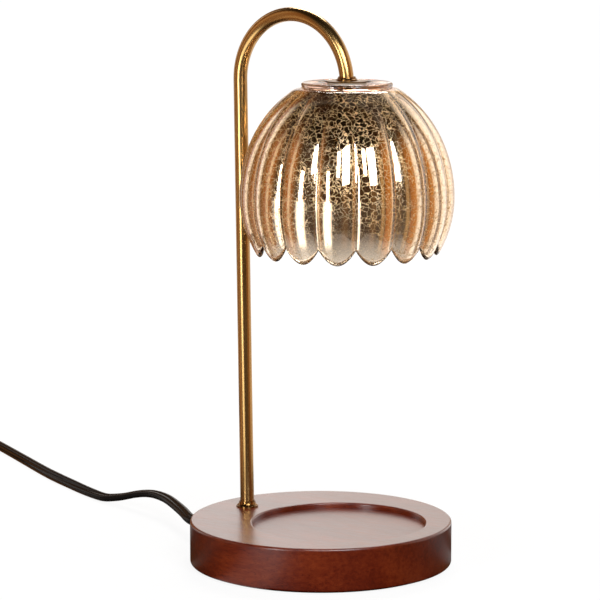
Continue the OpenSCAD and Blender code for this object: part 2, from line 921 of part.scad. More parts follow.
module dimmer_screws() {
  color("silver")
    at_dimmer()
      at_case_posts()
        translate([0, 0, fit_gap]) {
          cylinder(d = case_head_d, h = case_head_h);
          cylinder(d = case_screw_d, h = dimmer_h - 2 * dimmer_wall);
        }
}

module dimmer_board() {
  color("#2f5d3a")
    at_dimmer()
      translate([-board_l / 2, -board_w / 2, board_z])
        cube([board_l, board_w, board_t]);
}

module dimmer_pot() {
  color("#7b7f86")
    at_dimmer()
      difference() {
        union() {
          translate([-pot_w / 2, -pot_w / 2, pot_z])
            cube([pot_w, pot_w, pot_h]);
          translate([0, 0, pot_z])
            cylinder(d = bush_d, h = pot_h + bush_h);
        }
        translate([0, 0, shaft_z])
          cylinder(d = shaft_d + 2 * run_gap, h = dimmer_h);
      }
}

module dimmer_shaft() {
  color("#d0d0cc")
    at_dimmer()
      translate([0, 0, shaft_z + fit_gap])
        cylinder(d = shaft_d, h = knob_z + knob_h - knob_roof - shaft_z - 2 * fit_gap);
}

module dimmer_knob() {
  grips = 20;
  grip_d = 2;
  mark_l = 6;
  mark_w = 1.2;
  mark_h = 0.4;
  color("#242427")
    at_dimmer() {
      difference() {
        translate([0, 0, knob_z])
          cylinder(d = knob_d, h = knob_h);
        for (i = [0 : grips - 1])
          rotate([0, 0, (i + 0.5) * 360 / grips])
            translate([knob_d / 2 + grip_d / 4, 0, knob_z - 1])
              cylinder(d = grip_d, h = knob_h + 2);
        translate([0, 0, knob_z - 1])
          cylinder(d = shaft_d + 2 * snug_gap, h = knob_h - knob_roof + 1);
      }
      translate([knob_d / 2 - mark_l - grip_d, -mark_w / 2, knob_z + knob_h])
        cube([mark_l, mark_w, mark_h]);
    }
}

// Split wires between the board and the lead's two cut ends
module dimmer_leads() {
  wire_d = 1.8;
  wire_y = 1.7;
  cut_x = dimmer_l / 2 - cord_in;
  land_x = board_l / 2 - 3;
  land_z = pot_z + wire_d / 2;
  color("#b0413a")
    at_dimmer()
      for (way = [0, 180], side = [-1, 1])
        rotate([0, 0, way])
          swept([
            [cut_x - wire_gap, side * wire_y, split_z, 0],
            [cut_x - 2, side * wire_y, split_z, 0],
            [land_x + 3, side * wire_y, land_z + 0.3, 0],
            [land_x, side * wire_y, land_z, 0]
          ], wire_d, wire_d, wire_sides);
}

// Coil of the lead: spirals in on the lower layer, climbs where it turns back, and spirals out on the upper one

coil_place = [-443.5, 26];
coil_from = 217;
coil_turns = 4;
loop_rings = 24;
coil_sides = 6;
coil_z = tie_t + fit_gap + cord_w / 2;
coil_out = coil_r + coil_step * coil_turns / 4;

function ease(s) = let (c = min(1, max(0, s))) c * c * (3 - 2 * c);
function coil_at(t) =
  let (in = coil_turns / 2, a = coil_from + 360 * t, r = coil_out - coil_step * min(t, coil_turns - t))
    let (climb = ease(2 * (t - in) + 0.5))
      [coil_place[0] + r * cos(a), coil_place[1] + r * sin(a), coil_z + coil_layer * climb, 90];
coil_ahead = [cos(coil_from + 90), sin(coil_from + 90), 0, 0];
coil_start = coil_at(0) - coil_ahead * cord_w;
coil_end = coil_at(coil_turns) + coil_ahead * cord_w;
coil_path = concat(
  [coil_start],
  [for (i = [0 : coil_turns * loop_rings]) coil_at(i / loop_rings)],
  [coil_end]
);

// Least distance between rings of the coil that are more than half a turn apart
coil_rings = rings_along(coil_path, cord_w, cord_t, coil_sides);
coil_gap = min([
  for (i = [0 : len(coil_rings) - 1], k = [i + loop_rings / 2 : len(coil_rings) - 1])
    if (norm(place(coil_path[i]) - place(coil_path[k])) < 2 * cord_w)
      each [for (a = coil_rings[i], b = coil_rings[k]) norm(a - b)]
]);
echo(coil_gap = coil_gap);

module cord_coil() {
  color("#17171a")
    swept(coil_path, cord_w, cord_t, coil_sides);
}

module coil_tie() {
  tie_angle = coil_from + 180;
  sag = tie_w / 2 * tan(180 / loop_rings);
  inner_w = coil_step + cord_t + 2 * fit_gap + sag;
  inner_h = coil_layer + cord_w + 2 * fit_gap;
  color("#2a2a2d")
    translate([coil_place[0], coil_place[1], 0])
      rotate([0, 0, tie_angle])
        translate([coil_r - inner_w / 2 - sag / 2, -tie_w / 2, tie_t])
          difference() {
            translate([-tie_t, 0, -tie_t])
              cube([inner_w + 2 * tie_t, tie_w, inner_h + 2 * tie_t]);
            translate([0, -1, 0])
              cube([inner_w, tie_w + 2, inner_h]);
          }
}

// Lead from the dimmer to the coil
feed_route = concat(
  [
    dimmer_far - dimmer_ahead * cord_in, dimmer_far, dimmer_far + dimmer_ahead * cord_w,
    [-494.5, 60.5, 5.9, 90], [-499, 51, 4.6, 90], [-500, 40, 4.3, 90], [-496.5, 28.5, 4.4, 90]
  ],
  [for (back = [2, 1, 0]) coil_start - coil_ahead * cord_w * back]
);
feed_path = smooth_route(feed_route, 2);

module cord_feed() {
  color("#17171a")
    swept(feed_path, cord_w, cord_t, cord_sides);
}

// Lead from the coil to the plug
plug_run = 46;
plug_drop = [0, 0, plug_h / 2 - coil_end[2], 0];
plug_place = coil_end + coil_ahead * plug_run + plug_drop;
plug_route = concat(
  [for (ahead = [0, 1, 2]) coil_end + coil_ahead * cord_w * ahead],
  [for (back = [10, 5, fit_gap]) plug_place - coil_ahead * back]
);
plug_path = smooth_route(plug_route, 2);

module cord_plug_run() {
  color("#17171a")
    swept(plug_path, cord_w, cord_t, cord_sides);
}

echo(cord_length = path_length(mains_path) + path_length(feed_path) + path_length(coil_path)
  + path_length(plug_path), mains = path_length(mains_path), feed = path_length(feed_path),
  coil = path_length(coil_path), run = path_length(plug_path));

// Plug: its own x runs from the lead to the blades
blade_seat = 8;
blade_hole_d = 3.2;
neck_d = 9.2;
neck_groove = 1.2;

module at_plug() {
  translate(place(plug_place))
    rotate([0, 0, coil_from + 90])
      children();
}

module at_blades() {
  for (side = [-1, 1])
    translate([neck_l + plug_l - blade_seat, side * blade_gap / 2, 0])
      children();
}

module plug_body() {
  grooves = 4;
  shoulder_d = plug_h - 1;
  color("#151517")
    at_plug()
      difference() {
        union() {
          translate([neck_l, 0, 0])
            rotate([0, 90, 0])
              round_block(plug_h, plug_w, plug_l, plug_h / 3);
          rotate([0, 90, 0])
            cylinder(d1 = neck_d, d2 = shoulder_d, h = neck_l);
        }
        for (i = [1 : grooves])
          translate([i * neck_l / (grooves + 1), 0, 0])
            rotate([0, 90, 0])
              ring(shoulder_d + 2, neck_d - 1, neck_groove);
        at_blades()
          translate([0, -blade_t / 2 - snug_gap, -blade_w / 2 - snug_gap])
            cube([blade_seat + 1, blade_t + 2 * snug_gap, blade_w + 2 * snug_gap]);
      }
}

module plug_blades() {
  color("#c9b06a")
    at_plug()
      at_blades()
        difference() {
          translate([0, -blade_t / 2, -blade_w / 2])
            cube([blade_seat + blade_l, blade_t, blade_w]);
          translate([blade_seat + blade_l - blade_hole_d, blade_t, 0])
            rotate([90, 0, 0])
              cylinder(d = blade_hole_d, h = 2 * blade_t);
        }
}

wood_base();
non_slip_pad();
bottom_cover();
cover_screws();
foot_collar();
gooseneck_tube();
foot_washer();
lock_washers();
clamp_nuts();
arm_leads();
wire_connectors();
cord_conductors();
cord_grommet();
top_collar();
shade_disc();
top_gasket();
glass_shade();
lower_gasket();
socket_cup();
lampholder_bracket();
lampholder();
lampholder_screws();
lampholder_contacts();
bulb_base();
bulb_pins();
bulb_reflector();
bulb_lens();
bulb_capsule();
mains_cord();
dimmer_lower_shell();
dimmer_upper_shell();
dimmer_screws();
dimmer_board();
dimmer_pot();
dimmer_shaft();
dimmer_knob();
dimmer_leads();
cord_feed();
cord_coil();
coil_tie();
cord_plug_run();
plug_body();
plug_blades();
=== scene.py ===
import bmesh
import bpy
import math
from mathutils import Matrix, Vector


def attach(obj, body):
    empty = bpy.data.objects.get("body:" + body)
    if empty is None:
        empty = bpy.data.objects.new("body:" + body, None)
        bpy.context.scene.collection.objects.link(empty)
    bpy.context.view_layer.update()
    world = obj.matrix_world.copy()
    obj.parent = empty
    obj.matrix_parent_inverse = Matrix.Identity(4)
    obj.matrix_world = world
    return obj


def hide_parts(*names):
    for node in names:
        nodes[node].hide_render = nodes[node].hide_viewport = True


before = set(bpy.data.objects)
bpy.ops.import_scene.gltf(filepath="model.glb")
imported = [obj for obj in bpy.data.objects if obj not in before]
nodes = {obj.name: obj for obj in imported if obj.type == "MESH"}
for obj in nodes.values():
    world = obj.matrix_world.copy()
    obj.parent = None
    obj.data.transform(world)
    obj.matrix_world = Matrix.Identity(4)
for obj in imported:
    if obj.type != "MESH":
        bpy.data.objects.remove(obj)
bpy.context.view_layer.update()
scene = bpy.context.scene
scene.view_settings.view_transform = "Standard"
MM = 0.001


# Camera at the photograph's place
camera_data = bpy.data.cameras.new("camera")
camera_data.lens = 177.837
camera_data.sensor_width = 36
camera_data.clip_end = 50
camera = bpy.data.objects.new("camera", camera_data)
scene.collection.objects.link(camera)
camera.location = (0.99885, -1.32826, 0.40832)
camera.rotation_mode = "QUATERNION"
camera.rotation_quaternion = Vector((-0.59966, 0.78566, -0.15214)).to_track_quat("-Z", "Y")
scene.camera = camera


# Node helpers
def add(tree, kind, **values):
    """A shader node. Lower-case names set properties. The others set inputs, by name or by number as in I0,
    to a value or to a socket that is linked."""
    node = tree.nodes.new(kind)
    for name, value in values.items():
        if name[0].islower():
            setattr(node, name, value)
            continue
        name = name.replace("_", " ")
        inputs = [i for i in node.inputs if i.name == name and i.enabled] or [node.inputs[int(name[1:])]]
        if isinstance(value, bpy.types.NodeSocket):
            tree.links.new(value, inputs[0])
        else:
            inputs[0].default_value = value
    return node


def shader(name, **values):
    """A material with one principled shader. Returns the material, its tree and the shader."""
    made = bpy.data.materials.new(name)
    made.use_nodes = True
    tree = made.node_tree
    tree.nodes.clear()
    main = add(tree, "ShaderNodeBsdfPrincipled", **values)
    output = add(tree, "ShaderNodeOutputMaterial")
    tree.links.new(main.outputs[0], output.inputs[0])
    return made, tree, main


def link(tree, source, main, name):
    tree.links.new(source, main.inputs[name])


def ramp(tree, factor, *stops):
    node = add(tree, "ShaderNodeValToRGB", Fac=factor)
    bar = node.color_ramp.elements
    while len(bar) < len(stops):
        bar.new(0.5)
    for element, (place, colour) in zip(bar, stops):
        element.position = place
        element.color = (*colour, 1)
    return node.outputs[0]


def mapped(tree, value, start, end, low=0.0, high=1.0):
    """What runs from start to end becomes low to high, and stays at these beyond."""
    return add(tree, "ShaderNodeMapRange", I0=value, I1=start, I2=end, I3=low, I4=high).outputs[0]


def mixed_value(tree, factor, a, b):
    return add(tree, "ShaderNodeMix", data_type="FLOAT", Factor=factor, I2=a, I3=b).outputs[0]


def mixed_colour(tree, kind, factor, a, b):
    return add(tree, "ShaderNodeMix", data_type="RGBA", blend_type=kind, Factor=factor, I6=a, I7=b).outputs[2]


def grey(v):
    return (v, v, v)


EVEN = (1, 1, 1)


def stretched(tree, scale):
    """The place on the object, with its axes scaled."""
    where = add(tree, "ShaderNodeTexCoord")
    return add(tree, "ShaderNodeMapping", Vector=where.outputs["Object"], Scale=scale).outputs[0]


def noise(tree, vector, scale, detail=3.0, roughness=0.5):
    made = add(tree, "ShaderNodeTexNoise", Vector=vector, Scale=scale, Detail=detail, Roughness=roughness)
    return made.outputs[0]


def bump(tree, height, main, strength, distance):
    made = add(tree, "ShaderNodeBump", Height=height, Strength=strength, Distance=distance)
    link(tree, made.outputs[0], main, "Normal")


# Piece helpers
def dress(name, material):
    """The CAD node shows this material."""
    mesh = nodes[name].data
    mesh.materials.clear()
    mesh.materials.append(material)


def new_piece(name, points, faces, material):
    """A smooth closed mesh that rides the lamp's body."""
    mesh = bpy.data.meshes.new(name)
    mesh.from_pydata(points, [], faces)
    mesh.materials.append(material)
    shell = bmesh.new()
    shell.from_mesh(mesh)
    bmesh.ops.recalc_face_normals(shell, faces=shell.faces)
    shell.to_mesh(mesh)
    shell.free()
    mesh.polygons.foreach_set("use_smooth", [True] * len(mesh.polygons))
    mesh.update()
    made = bpy.data.objects.new(name, mesh)
    scene.collection.objects.link(made)
    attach(made, "lamp")
    return made


def tube_faces(rings, sides):
    faces = []
    for i in range(rings - 1):
        for j in range(sides):
            a, b = i * sides + j, i * sides + (j + 1) % sides
            faces.append((a, b, b + sides, a + sides))
    return faces


# Lead: the routes of the CAD source, in millimetres, with the roll of the flat section in degrees
CORD_W = 6.6
CORD_T = 4.0
CORE_STEPS = 7
GROOVE = 0.86
HEADING = 217
AHEAD = HEADING + 90
DIMMER_L = 78
DIMMER_INSIDE = 5
COIL_PLACE = (-443.5, 26)
COIL_TURNS = 4
LOOP_STEPS = 40
COIL_OUT = 41.3
COIL_STEP = 4.8
COIL_Z = 4.6
COIL_LAYER = 7.4
PLUG_RUN = 46
PLUG_Z = 7
MAINS_STEPS, FEED_STEPS, PLUG_STEPS = 6, 5, 6


def spline(route, steps):
    last = len(route) - 1
    path = []
    for i in range(last):
        a, b, c, d = route[max(i - 1, 0)], route[i], route[i + 1], route[min(i + 2, last)]
        for k in range(steps):
            s = k / steps
            path.append([
                0.5 * (2 * q + (r - p) * s + (2 * p - 5 * q + 4 * r - t) * s * s
                       + (3 * q - p - 3 * r + t) * s ** 3)
                for p, q, r, t in zip(a, b, c, d)
            ])
    return path + [list(route[last])]


def ahead(degrees, length, start):
    a = math.radians(degrees)
    return [start[0] + length * math.cos(a), start[1] + length * math.sin(a), start[2], start[3]]


def coil_at(t):
    """The coil's point after t turns: inwards in the lower layer, then outwards in the upper one."""
    r = COIL_OUT - COIL_STEP * min(t, COIL_TURNS - t)
    a = math.radians(HEADING + 360 * t)
    c = min(1, max(0, 2 * (t - COIL_TURNS / 2) + 0.5))
    climb = c * c * (3 - 2 * c)
    return [COIL_PLACE[0] + r * math.cos(a), COIL_PLACE[1] + r * math.sin(a), COIL_Z + COIL_LAYER * climb, 90]


near = [-420, 118.6, 8.5, 90]
far = ahead(HEADING, DIMMER_L, near)
mains_route = [
    [-65, 0, 10, 45], [-75, 0, 10, 44], [-85, 0, 10, 42], [-94, 1.5, 10.3, 38], [-102.5, 5.5, 10.8, 35],
    [-114, 14, 11.4, 30], [-130, 24.5, 12.3, 22], [-142, 31.5, 12.7, 16], [-154, 36.5, 12.5, 11],
    [-164, 39.5, 11.4, 8], [-174, 41.2, 9.3, 8], [-186, 42.4, 5.9, 9], [-194, 42.8, 4.2, 11],
    [-201, 43.6, 3.1, 15], [-209, 46, 2.7, 20], [-224, 51.5, 2.7, 33], [-241, 58.5, 2.9, 46],
    [-277, 74.5, 3.2, 67], [-319, 96.5, 3.4, 82], [-346, 111, 3.4, 90], [-372, 124.5, 3.4, 90],
    [-386.5, 129.5, 3.8, 90], [-401.5, 128.5, 5.4, 90], [-412, 124, 7.4, 90], near,
    ahead(HEADING, DIMMER_INSIDE, near)
]
coil_start = ahead(AHEAD, -CORD_W, coil_at(0))
coil_end = ahead(AHEAD, CORD_W, coil_at(COIL_TURNS))
plug_at = ahead(AHEAD, PLUG_RUN, coil_end)
plug_at[2] = PLUG_Z
feed_route = [
    ahead(HEADING, -DIMMER_INSIDE, far), far, ahead(HEADING, CORD_W, far), [-494.5, 60.5, 5.9, 90],
    [-499, 51, 4.6, 90], [-500, 40, 4.3, 90], [-496.5, 28.5, 4.4, 90]
]
feed_route += [ahead(AHEAD, -back * CORD_W, coil_start) for back in (2, 1, 0)]
plug_route = [ahead(AHEAD, step * CORD_W, coil_end) for step in (0, 1, 2)]
plug_route += [ahead(AHEAD, -back, plug_at) for back in (10, 5, 0.3)]

lead_material, tree, main = shader("lead_pvc", Base_Color=(0.006, 0.005, 0.005, 1), Specular_IOR_Level=0.07)
grain = noise(tree, stretched(tree, EVEN), 900.0, 2.0)
link(tree, ramp(tree, grain, (0.3, grey(0.22)), (0.7, grey(0.32))), main, "Roughness")
bump(tree, grain, main, 0.12, 0.0002)


def twin_section():
    """Two round cores side by side with a groove between: points of the outline, wide and thin way."""
    core, apart = CORD_T / 2, (CORD_W - CORD_T) / 2
    meet = math.acos(-apart / core * GROOVE)
    turns = [meet * k / CORE_STEPS for k in range(-CORE_STEPS, CORE_STEPS + 1)]
    right = [(apart + core * math.cos(a), core * math.sin(a)) for a in turns]
    return right + [(-x, -y) for x, y in right]


def flat_lead(name, path, replaced):
    outline = twin_section()
    last = len(path) - 1
    points = []
    for i, p in enumerate(path):
        here = Vector(p[:3])
        way = (Vector(path[min(i + 1, last)][:3]) - Vector(path[max(i - 1, 0)][:3])).normalized()
        side = way.cross(Vector((0, 0, 1))).normalized()
        up = side.cross(way)
        roll = math.radians(p[3])
        wide = side * math.cos(roll) + up * math.sin(roll)
        thin = up * math.cos(roll) - side * math.sin(roll)
        points += [(here + wide * x + thin * y) * MM for x, y in outline]
    sides = len(outline)
    faces = tube_faces(len(path), sides)
    faces += [tuple(range(sides - 1, -1, -1)), tuple(last * sides + j for j in range(sides))]
    made = new_piece(name, points, faces, lead_material)
    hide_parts(*replaced)
    return made, [[x * MM for x in p[:3]] for p in path]


mains_lead, mains_line = flat_lead("mains_lead", spline(mains_route, MAINS_STEPS), ["mains_cord"])
put_away = spline(feed_route, FEED_STEPS)[:-1] + [coil_start]
put_away += [coil_at(i / LOOP_STEPS) for i in range(COIL_TURNS * LOOP_STEPS + 1)]
put_away += spline(plug_route, PLUG_STEPS)
coiled_lead, coiled_line = flat_lead("coiled_lead", put_away, ["cord_feed", "cord_coil", "cord_plug_run"])


# Wood with a red-brown stain and a clear coat
wood, tree, main = shader("stained_wood", Specular_IOR_Level=0.1, Coat_Weight=1.0, Coat_Roughness=0.27)
fibres = noise(tree, stretched(tree, (9, 60, 60)), 9.0, 6.0, 0.6)
figure = noise(tree, stretched(tree, (10, 28, 28)), 1.6, 3.0)
pores = noise(tree, stretched(tree, (60, 900, 900)), 3.0, 2.0)
tone = mixed_value(tree, 0.45, figure, fibres)
stain = ramp(tree, tone, (0.32, (0.056, 0.005, 0.002)), (0.50, (0.105, 0.010, 0.002)),
             (0.68, (0.180, 0.025, 0.005)))
dark = ramp(tree, pores, (0.32, grey(0.55)), (0.46, grey(1.0)))
link(tree, mixed_colour(tree, "MULTIPLY", 1.0, stain, dark), main, "Base Color")
link(tree, ramp(tree, fibres, (0.3, grey(0.30)), (0.7, grey(0.40))), main, "Roughness")
bump(tree, pores, main, 0.14, 0.0003)
dress("wood_base", wood)


# Brass of the tube and its fittings, with a slow patina
def dress_brass(name, wearers, colour, rough):
    made, tree, main = shader(name, Metallic=1.0)
    patina = noise(tree, stretched(tree, (30, 30, 12)), 1.0, 2.0)
    dim = tuple(c * 0.86 for c in colour)
    link(tree, ramp(tree, patina, (0.35, dim), (0.65, colour)), main, "Base Color")
    link(tree, ramp(tree, patina, (0.3, grey(rough * 1.1)), (0.7, grey(rough * 0.9))), main, "Roughness")
    for n in wearers:
        dress(n, made)


dress_brass("antique_brass", ["gooseneck_tube", "socket_cup"], (0.455, 0.275, 0.10), 0.24)
# The collars wear the tube's brass painted darker: painted shade, for the dark wood they reflect
dress_brass("brass_with_painted_shade", ["foot_collar", "top_collar"], (0.24, 0.125, 0.040), 0.20)
dress_brass("dark_brass", ["shade_disc"], (0.13, 0.075, 0.030), 0.40)


# Shade: the CAD's petals in millimetres, with finer steps and a rounded lip. The half-silvered inside and the
# neck's bead have their own materials.
SHADE_X = 17.96
GLASS_TOP = 276.594
SHADE_H = 95.2
SHADE_R = 60.5
BELLY_H = 31.4
CROWN_MORE = 5.2
TUCK_MORE = 29.6
GLASS_T = 2.2
PLATE_T = 3
SHOULDER = 5.5
HOLE_R = 5.2
NECK_R = 25.6
BEAD_R = 1.2
BEAD_DROP = 0.7
BEAD_FOOT = 3
# How far out from the neck and down from the top, from the bead to the shoulder
NECK_CURVE = [(-0.4, 2.2), (0.6, 2.5), (2.6, 2.9), (4.9, 4.0)]
FLUTE = 2.8
SCALLOP = 8.5
LIP_ROUND = 0.45
# Heights above the tips between which the coat grows to its full thickness
COAT_FROM, COAT_TO = 1, 15
PETALS = 16
PETAL_TURN = 8.2
ACROSS, DOWN, LIP_STEPS = 16, 34, 5
TIP_Z = GLASS_TOP - SHADE_H
BELLY_Z = TIP_Z + BELLY_H


def bell(z, r, shrink):
    half = (GLASS_TOP - BELLY_Z + CROWN_MORE if z > BELLY_Z else BELLY_H + TUCK_MORE) - shrink
    return r * math.sqrt(max(0, 1 - ((z - BELLY_Z) / half) ** 2))


def shade_ring(place):
    """place gives the radius and the height for u, which runs from -1 to 1 across a petal."""
    ring = []
    for j in range(PETALS * ACROSS):
        u = 2 * (j % ACROSS) / ACROSS - 1
        a = math.radians(PETAL_TURN + (j / ACROSS - 0.5) * 360 / PETALS)
        r, z = place(u)
        ring.append(Vector((SHADE_X + r * math.cos(a), r * math.sin(a), z)) * MM)
    return ring


def wall(s, top, r, shrink):
    def place(u):
        z = top + (TIP_Z - top) * s + SCALLOP * u * u * s ** 3
        return bell(z, r, shrink) - FLUTE * u * u * (1 - (1 - s) ** 3), z
    return place


def outer_wall(s):
    return wall(s, GLASS_TOP - SHOULDER, SHADE_R, 0)


def inner_wall(s):
    return wall(s, GLASS_TOP - PLATE_T, SHADE_R - GLASS_T, GLASS_T)


def lip(f):
    outer, inner = outer_wall(1), inner_wall(1)

    def place(u):
        (r, z), (q, y) = outer(u), inner(u)
        return r + (q - r) * f, z + (y - z) * f - LIP_ROUND * GLASS_T * math.sin(math.pi * f)
    return place


def plain(r, z):
    return lambda u: (r, z)


def bead(degrees):
    a = math.radians(degrees)
    return plain(NECK_R - BEAD_R + BEAD_R * math.cos(a), GLASS_TOP - BEAD_DROP + BEAD_R * math.sin(a))


neck = [plain(HOLE_R, GLASS_TOP), plain(NECK_R - BEAD_FOOT, GLASS_TOP)]
neck += [bead(degrees) for degrees in range(120, -21, -20)]
neck += [plain(NECK_R + out, GLASS_TOP - down) for out, down in NECK_CURVE]
outside = neck + [outer_wall(k / DOWN) for k in range(DOWN + 1)]
outside += [lip(f / LIP_STEPS) for f in range(1, LIP_STEPS)]
inside = [inner_wall(k / DOWN) for k in range(DOWN, -1, -1)] + [plain(HOLE_R, GLASS_TOP - PLATE_T)]
rings = [shade_ring(p) for p in outside + inside]
sides = PETALS * ACROSS
last = (len(rings) - 1) * sides
faces = tube_faces(len(rings), sides)
faces += [(last + j, last + (j + 1) % sides, (j + 1) % sides, j) for j in range(sides)]

amber = shader("amber_glass", Base_Color=(0.98, 0.88, 0.74, 1), Roughness=0.02, IOR=1.5,
               Transmission_Weight=1.0)[0]
rose = shader("rose_glass", Base_Color=(0.90, 0.66, 0.56, 1), Roughness=0.03, IOR=1.5,
              Transmission_Weight=1.0)[0]

# Smooth mirror cells in a net of rough golden cracks, which is faint in patches. The coat thins out towards
# the rim.
silver, tree, main = shader("half_silvered_glass", IOR=1.5, Transmission_Weight=1.0)
where = stretched(tree, EVEN)
bent = add(tree, "ShaderNodeTexNoise", Vector=where, Scale=260.0, Detail=2.0).outputs[1]
moved = add(tree, "ShaderNodeMix", data_type="VECTOR", Factor=0.006, I4=where, I5=bent).outputs[1]
net = add(tree, "ShaderNodeTexVoronoi", feature="DISTANCE_TO_EDGE", Vector=moved, Scale=345.0).outputs[0]
slow = noise(tree, where, 38.0, 4.0, 0.6)
crack = ramp(tree, net, (0.026, grey(1.0)), (0.062, grey(0.0)))
worn = ramp(tree, slow, (0.42, grey(0.35)), (0.54, grey(1.0)))
crack = mixed_colour(tree, "MULTIPLY", 1.0, crack, worn)
link(tree, ramp(tree, crack, (0.0, (0.88, 0.77, 0.64)), (1.0, (0.98, 0.76, 0.46))), main, "Base Color")
link(tree, ramp(tree, crack, (0.0, grey(0.04)), (1.0, grey(0.64))), main, "Roughness")
patch = ramp(tree, slow, (0.36, grey(0.82)), (0.62, grey(0.96)))
coat = mixed_value(tree, crack, patch, 0.95)
height = add(tree, "ShaderNodeSeparateXYZ", Vector=where).outputs["Z"]
thin = mapped(tree, height, (TIP_Z + COAT_FROM) * MM, (TIP_Z + COAT_TO) * MM, 0.40, 1.0)
coat = add(tree, "ShaderNodeMath", operation="MULTIPLY", I0=coat, I1=thin).outputs[0]
link(tree, coat, main, "Metallic")

shade = new_piece("petal_shade", [p for r in rings for p in r], faces, amber)
shade.data.materials.append(silver)
shade.data.materials.append(rose)
bead_end = (len(neck) - 1) * sides
first_inside = len(outside) * sides
for face in shade.data.polygons:
    if min(face.vertices) >= first_inside:
        face.material_index = 1
    elif max(face.vertices) < bead_end:
        face.material_index = 2
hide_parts("glass_shade")


# Materials of the other pieces
def dress_plain(name, wearers, colour, rough, metallic=0.0, scale=240.0, depth=0.10, **values):
    """A colour with a slow change, a fine grain and a matching roughness, on these nodes."""
    made, tree, main = shader(name, Metallic=metallic, **values)
    fine = noise(tree, stretched(tree, EVEN), scale, 3.0)
    slow = noise(tree, stretched(tree, EVEN), scale / 12, 2.0)
    low, high = tuple(c * (1 - depth) for c in colour), tuple(min(1, c * (1 + depth)) for c in colour)
    link(tree, ramp(tree, slow, (0.35, low), (0.65, high)), main, "Base Color")
    smoother, rougher = grey(rough * 0.85), grey(min(1, rough * 1.15))
    link(tree, ramp(tree, fine, (0.3, smoother), (0.7, rougher)), main, "Roughness")
    bump(tree, fine, main, 0.08, 0.0002)
    for n in wearers:
        dress(n, made)


dress_plain("zinc_plate", ["cover_screws", "foot_washer", "lock_washers", "clamp_nuts", "lampholder_bracket",
                           "lampholder_screws", "dimmer_screws", "bulb_pins"], (0.62, 0.62, 0.60), 0.32, 1.0)
dress_plain("bare_brass", ["lampholder_contacts", "plug_blades"], (0.72, 0.52, 0.22), 0.25, 1.0)
dress_plain("foam_pad", ["non_slip_pad"], (0.018, 0.017, 0.017), 0.85, scale=1500.0)
dress_plain("cover_plastic", ["bottom_cover"], (0.025, 0.025, 0.026), 0.55, scale=900.0)
dress_plain("silicone_sleeve", ["arm_leads", "top_gasket", "lower_gasket"], (0.70, 0.67, 0.58), 0.55)
dress_plain("wire_sleeve", ["cord_conductors", "dimmer_leads"], (0.045, 0.045, 0.050), 0.40)
dress_plain("nylon_cap", ["wire_connectors"], (0.78, 0.75, 0.64), 0.45)
dress_plain("relief_rubber", ["cord_grommet", "coil_tie"], (0.012, 0.011, 0.011), 0.50, scale=900.0,
            Specular_IOR_Level=0.25)
dress_plain("glazed_ceramic", ["lampholder", "bulb_base"], (0.80, 0.77, 0.70), 0.22, depth=0.04,
            Coat_Weight=0.3)
dress_plain("mirror_coat", ["bulb_reflector"], (0.80, 0.80, 0.82), 0.10, 1.0)
dress_plain("case_plastic", ["dimmer_lower_shell", "dimmer_upper_shell", "plug_body"], (0.013, 0.012, 0.012),
            0.50, scale=1200.0, Specular_IOR_Level=0.25)
dress_plain("knob_plastic", ["dimmer_knob"], (0.020, 0.019, 0.019), 0.45, scale=1200.0,
            Specular_IOR_Level=0.3)
dress_plain("solder_mask", ["dimmer_board"], (0.02, 0.11, 0.045), 0.35)
dress_plain("pot_metal", ["dimmer_pot", "dimmer_shaft"], (0.52, 0.53, 0.55), 0.35, 1.0)

clear, tree, main = shader("clear_glass", Base_Color=(0.96, 0.98, 0.98, 1), IOR=1.5, Transmission_Weight=1.0)
frost = noise(tree, stretched(tree, EVEN), 420.0, 3.0)
link(tree, ramp(tree, frost, (0.3, grey(0.05)), (0.7, grey(0.16))), main, "Roughness")
for n in ("bulb_lens", "bulb_capsule"):
    dress(n, clear)


# Studio: floor, world and softboxes, in metres
VIEW_TURN = 37.353
STRIP_TURN = -40
STRIP_DARK, STRIP_BRIGHT = 0.03, 2.2
FLOOR_LEVEL = 1.2
FLOOR_HALF = 6
WORLD_LEVEL = 1.3
# The grey that the world's level makes white
CAMERA_WHITE = 0.77
# Colour by the turn to the right of the camera, in degrees: dark in front, a warm turn to each side, then
# light with brown bands, which are wider to the left
DIM, UMBER, BROWN = (0.045, 0.024, 0.012), (0.14, 0.08, 0.035), (0.30, 0.18, 0.09)
RUST, ORANGE, GOLD = (0.36, 0.13, 0.025), (0.54, 0.24, 0.055), (0.42, 0.27, 0.12)
TAN, CREAM, WHITE = (0.78, 0.62, 0.47), (0.98, 0.90, 0.83), (1.22, 1.14, 1.09)
SWEEP = [
    (-180, WHITE), (-172, CREAM), (-168, UMBER), (-140, RUST), (-136, WHITE), (-124, CREAM), (-120, UMBER),
    (-92, RUST), (-88, TAN), (-82, TAN), (-78, RUST), (-62, UMBER), (-57, DIM), (6, DIM), (14, UMBER),
    (24, UMBER), (32, DIM), (42, DIM), (47, GOLD), (54, GOLD), (58, DIM), (62, RUST), (84, ORANGE),
    (90, CREAM), (104, WHITE), (108, UMBER), (120, BROWN), (124, WHITE), (154, WHITE), (157, BROWN),
    (165, BROWN), (168, CREAM)
]


def seen_from(right, back, up):
    """A place by its distance to the right of the view, away from the camera and up."""
    a = math.radians(VIEW_TURN)
    return (right * math.cos(a) - back * math.sin(a), right * math.sin(a) + back * math.cos(a), up)


def along(tree, way, turn):
    """How far a way runs along the level direction that lies so many degrees to the right of the camera."""
    a = math.radians(turn)
    level = seen_from(math.sin(a), -math.cos(a), 0)
    return add(tree, "ShaderNodeVectorMath", operation="DOT_PRODUCT", I0=way, I1=level).outputs["Value"]


